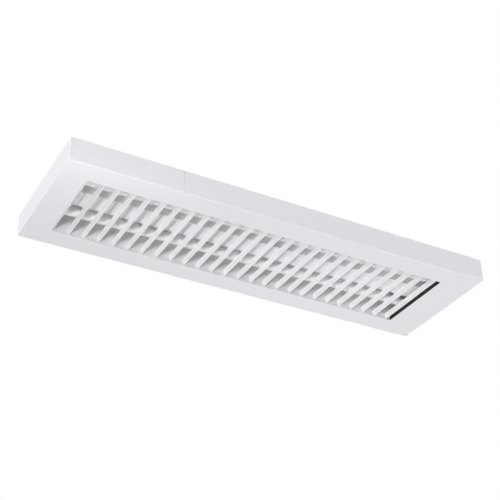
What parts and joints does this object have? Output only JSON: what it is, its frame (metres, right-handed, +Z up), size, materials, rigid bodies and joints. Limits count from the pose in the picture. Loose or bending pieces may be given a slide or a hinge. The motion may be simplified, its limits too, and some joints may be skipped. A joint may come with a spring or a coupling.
{
  "type": "surface mounted fluorescent fixture",
  "caption": "Flat white ceiling light: fluorescent tubes behind a hinged cross-blade louvre, in a housing of end caps and side profiles on a slotted back plate.",
  "frame": {"origin": "centre of the face that lies on the ceiling", "axes": "+X along the lamps towards the louvre's hinge, +Z up out of the ceiling face, -Y the near long side"},
  "size_m": [1.25, 0.384, 0.069],
  "materials": {
    "white_enamel": "smooth semi-gloss white enamel on sheet steel",
    "reflector_enamel": "highly reflecting white enamel on sheet steel",
    "louvre_enamel": "smooth white enamel on thin sheet steel",
    "zinc_steel": "zinc plated steel",
    "spring_steel": "bright spring steel",
    "holder_plastic": "white moulded plastic",
    "lamp_glass": "glass coated white on the inside",
    "lamp_cap": "bright drawn aluminium",
    "contact_brass": "bright brass",
    "ballast_steel": "white coated sheet steel",
    "board_green": "green circuit board with moulded parts",
    "black_rubber": "matt black rubber",
    "lead_white": "white insulated wire",
    "lead_blue": "blue insulated wire",
    "lead_green": "green insulated wire with a tinned lug"
  },
  "bodies": {
    "housing": {"left_end_cap": "white_enamel", "right_end_cap": "white_enamel", "near_side_profile": "white_enamel", "far_side_profile": "white_enamel", "left_holder_bracket": "white_enamel", "right_holder_bracket": "white_enamel", "near_side_reflector": "reflector_enamel", "far_side_reflector": "reflector_enamel", "gear_cover": "reflector_enamel", "back_plate": "zinc_steel", "near_hinge_bracket": "zinc_steel", "far_hinge_bracket": "zinc_steel", "splice_plates": "zinc_steel", "shell_screws": "zinc_steel", "reflector_screws": "zinc_steel", "gear_cover_screws": "zinc_steel", "ballast_screws": "zinc_steel", "earth_stud": "zinc_steel", "earth_nuts": "zinc_steel", "bracket_screws": "zinc_steel", "holder_screws": "zinc_steel", "catch_clips": "spring_steel", "near_left_lampholder": "holder_plastic", "near_right_lampholder": "holder_plastic", "far_left_lampholder": "holder_plastic", "far_right_lampholder": "holder_plastic", "terminal_block": "holder_plastic", "ballast_terminals": "holder_plastic", "terminal_screws": "contact_brass", "ballast_base": "ballast_steel", "ballast_case": "ballast_steel", "ballast_board": "board_green", "cable_grommet": "black_rubber", "slot_seal": "black_rubber", "lamp_leads": "lead_white", "mains_leads": "lead_blue", "earth_lead": "lead_green"},
    "louvre": {"louvre_near_rail": "louvre_enamel", "louvre_far_rail": "louvre_enamel", "louvre_left_bar": "louvre_enamel", "louvre_right_bar": "louvre_enamel", "louvre_blades": "louvre_enamel", "louvre_hinge_pins": "zinc_steel"},
    "near_lamp": {"near_lamp_rotors": "holder_plastic", "near_lamp_tube": "lamp_glass", "near_lamp_caps": "lamp_cap", "near_lamp_pins": "contact_brass"},
    "far_lamp": {"far_lamp_rotors": "holder_plastic", "far_lamp_tube": "lamp_glass", "far_lamp_caps": "lamp_cap", "far_lamp_pins": "contact_brass"}
  },
  "joints": [
    {"name": "louvre_swing", "type": "hinge", "parent": "housing", "child": "louvre", "pos_m": [0.51387, 0, -0.06], "axis": [0, -1, 0], "range_deg": [0, 90]},
    {"name": "near_lamp_twist", "type": "hinge", "parent": "housing", "child": "near_lamp", "pos_m": [0, -0.075, -0.029], "axis": [1, 0, 0], "range_deg": [0, 90]},
    {"name": "far_lamp_twist", "type": "hinge", "parent": "housing", "child": "far_lamp", "pos_m": [0, 0.075, -0.029], "axis": [1, 0, 0], "range_deg": [0, 90]}
  ]
}
